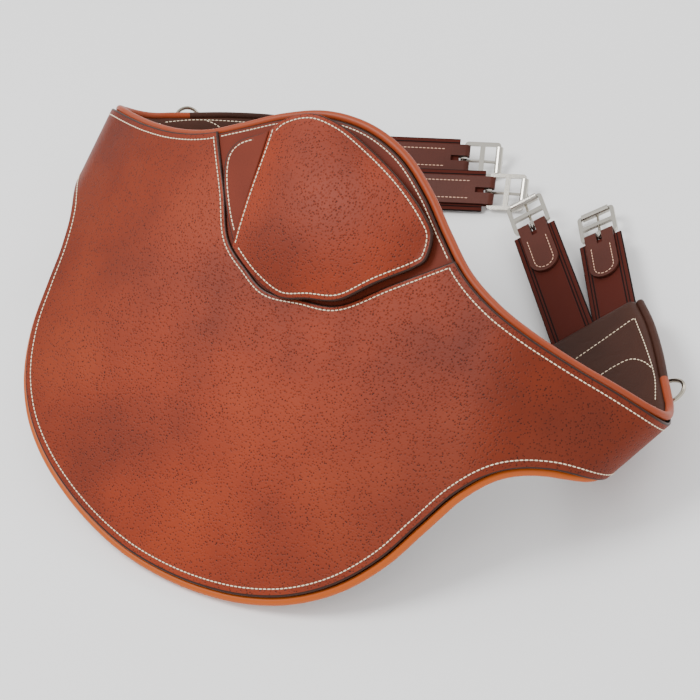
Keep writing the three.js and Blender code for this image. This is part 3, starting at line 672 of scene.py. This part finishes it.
def elastic(name, spec):
    origin, axes = seat_frame(**spec)
    total = STRAP_BEND * spec["pitch"] + spec["length"]
    runs = np.r_[np.linspace(-9, 0, 3), np.linspace(0.5, STRAP_BEND * spec["pitch"], 8),
                 np.linspace(STRAP_BEND * spec["pitch"] + 2, total, 60)]
    half, thick = ELASTIC_WIDTH / 2, 1.05
    section = [(-half + 0.6, thick), (half - 0.6, thick), (half, thick * 0.4), (half, -thick * 0.4),
               (half - 0.6, -thick), (-half + 0.6, -thick), (-half, -thick * 0.4), (-half, thick * 0.4)]
    loops = []
    for run in runs:
        x, z, angle = strap_place(spec["pitch"], run)
        loop = [(x - h * math.sin(angle), y, z + h * math.cos(angle)) for y, h in section]
        loops.append(origin + np.array(loop) @ axes.T / 1000)
    verts, faces, slots = loft(np.array(loops), np.zeros(len(section), int))
    piece = make(name + "_band", verts, faces, [ELASTIC], None, [name + "_elastic"],
                 slots, smooth=False)
    layer = piece.data.uv_layers.new(name="UVMap")
    across = [(y + half) / ELASTIC_WIDTH for y, _ in section]
    for poly in piece.data.polygons:
        for loop_index in poly.loop_indices:
            vertex = piece.data.loops[loop_index].vertex_index
            layer.data[loop_index].uv = (runs[vertex // 8] / ELASTIC_WIDTH, across[vertex % 8])
    x, z, _ = strap_place(spec["pitch"], total)
    x, z, _ = strap_place(spec["pitch"], STRAP_BEND * spec["pitch"] + 6)
    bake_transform(piece)


def buckle_frame(spec):
    origin, axes = seat_frame(**spec)
    x, z, angle = strap_place(spec["pitch"], STRAP_BEND * spec["pitch"] + spec["length"] + BAR_BEYOND)
    place = origin + axes @ np.array((x, 0, z)) / 1000
    return place, axes @ np.array(Matrix.Rotation(-angle, 3, "Y"))


def strap_stitches(name, rows, spec, face, thread):
    """Stitches along rows of (x, y) on one face of the chape, in the buckle's frame."""
    place, axes = buckle_frame(spec)
    centres, along = [], []
    for row in rows:
        row = resample(np.array(row, float), 1.2)
        for a, b, c in zip(row[0::3], row[1::3], row[2::3]):
            centres.append((*b, face * CHAPE_FACE))
            along.append((*(c - a), 0))
    centres = place + np.array(centres) @ axes.T / 1000
    along = np.array(along) @ axes.T
    normals = np.repeat([axes[:, 2] * face], len(centres), axis=0)
    stitch_rows(name, centres, along, normals, name.split("_stitches")[0] + "_chape",
                length=2.6, radius=0.38, thread=thread, slot="chape_leather")


def round_row(y, far, near):
    """A row that runs out along the strap, round its rounded end and back."""
    turn = np.linspace(math.pi / 2, 3 * math.pi / 2, 15)
    arc = [(far + y + y * math.cos(t), y * math.sin(t)) for t in turn]
    return [(near, y), *arc, (near, -y)]


def strap(name, spec):
    elastic(name, spec)
    straight = [[(-69, 8.2), (-17, 8.2)], [(-69, -8.2), (-17, -8.2)]]
    curved = [round_row(8.6, -52.4, -17)]
    inside = 1 if name.startswith("right") else -1
    strap_stitches(name + "_stitches_round", curved, spec, inside, PEACH_THREAD)
    strap_stitches(name + "_stitches_straight", straight, spec, -inside, PEACH_THREAD)


# ---------- materials and soft edges of the CAD pieces that stay ----------
def dress(name, material, bevel=0.0, segments=3):
    piece = NODES[name]
    piece.data.materials.clear()
    piece.data.materials.append(material)
    if bevel:
        mod = piece.modifiers.new("soft_edges", "BEVEL")
        mod.width = bevel / 1000
        mod.segments = segments
        mod.limit_method = "ANGLE"
        mod.angle_limit = math.radians(38)
        mod.harden_normals = False


def metalwork():
    for name in STRAPS:
        dress(name + "_chape", CHAPE, 0.4)
        dress(name + "_buckle", NICKEL, 0.85, 4)
        dress(name + "_roller", NICKEL, 0.5, 3)
        dress(name + "_tongue", NICKEL, 0.0)
    for word in ("left", "right", "centre"):
        dress(word + "_ring", STEEL, 0.0)
        dress(word + "_ring_keeper", TAN, 0.35)
    dress("foam_core", FOAM)
    for node_name, piece in NODES.items():
        soft = node_name.endswith(("_tongue", "_ring", "_roller", "_buckle", "_chape", "_keeper"))
        if soft:
            piece.data.polygons.foreach_set("use_smooth", [True] * len(piece.data.polygons))


outer_panel()
recess_floor()
lining()
bead("top_edge_roll", top_edge, -1, TOP_BEAD_SHADED)
bead("bottom_edge_roll", bottom_edge, 1, LOW_BEAD_LIT)
flap()
tab()
body_seams()
for strap_name, strap_spec in STRAPS.items():
    strap(strap_name, strap_spec)
metalwork()


# ---------- stage ----------
def floor():
    size = 6
    data = bpy.data.meshes.new("floor")
    corners = [(-size, -size, 0), (size, -size, 0), (size, size, 0), (-size, size, 0)]
    data.from_pydata(corners, [], [(0, 1, 2, 3)])
    data.materials.append(plain("floor", (0.97, 0.97, 0.97), 0.8))
    piece = bpy.data.objects.new("floor", data)
    bpy.context.collection.objects.link(piece)


def area_light(name, at, target, size, power):
    data = bpy.data.lights.new(name, "AREA")
    data.shape = "DISK"
    data.size = size
    data.energy = power
    lamp = bpy.data.objects.new(name, data)
    bpy.context.collection.objects.link(lamp)
    lamp.location = at
    lamp.rotation_euler = (Vector(target) - Vector(at)).to_track_quat("-Z", "Y").to_euler()


def world(strength):
    scene = bpy.context.scene
    scene.world = scene.world or bpy.data.worlds.new("world")
    scene.world.use_nodes = True
    back = scene.world.node_tree.nodes["Background"]
    back.inputs["Color"].default_value = (1, 1, 1, 1)
    back.inputs["Strength"].default_value = strength


# camera at the photograph's viewing angle, in the girth's own frame, millimetres
CAMERA_AT = (733.74, -1165.86, -99.2)
CAMERA_RIGHT = (0.7488, 0.43563, 0.49952)
CAMERA_DOWN = (0.45258, 0.21454, -0.86553)
CAMERA_FORWARD = (-0.48422, 0.87418, -0.03651)
CAMERA_LENS = 90.51


def camera():
    data = bpy.data.cameras.new("camera")
    data.lens = CAMERA_LENS
    data.sensor_width = 36
    data.clip_start = 0.05
    data.clip_end = 50
    eye = bpy.data.objects.new("camera", data)
    bpy.context.collection.objects.link(eye)
    right, down, forward = (REST @ np.array(v) for v in (CAMERA_RIGHT, CAMERA_DOWN, CAMERA_FORWARD))
    turn = Matrix((right, -down, -forward)).transposed()
    place = (REST @ np.array(CAMERA_AT) + REST_SHIFT) / 1000
    eye.matrix_world = Matrix.Translation(Vector(place)) @ turn.to_4x4()
    bpy.context.scene.camera = eye


floor()
world(1.0)
area_light("key", (-0.7, -0.5, 1.6), (0, 0, 0.1), 0.9, 24)
area_light("fill", (1.4, -0.8, 0.9), (0, 0, 0.1), 1.2, 7)
area_light("rim", (0.2, 1.5, 1.1), (0, 0, 0.1), 1.0, 8)
camera()
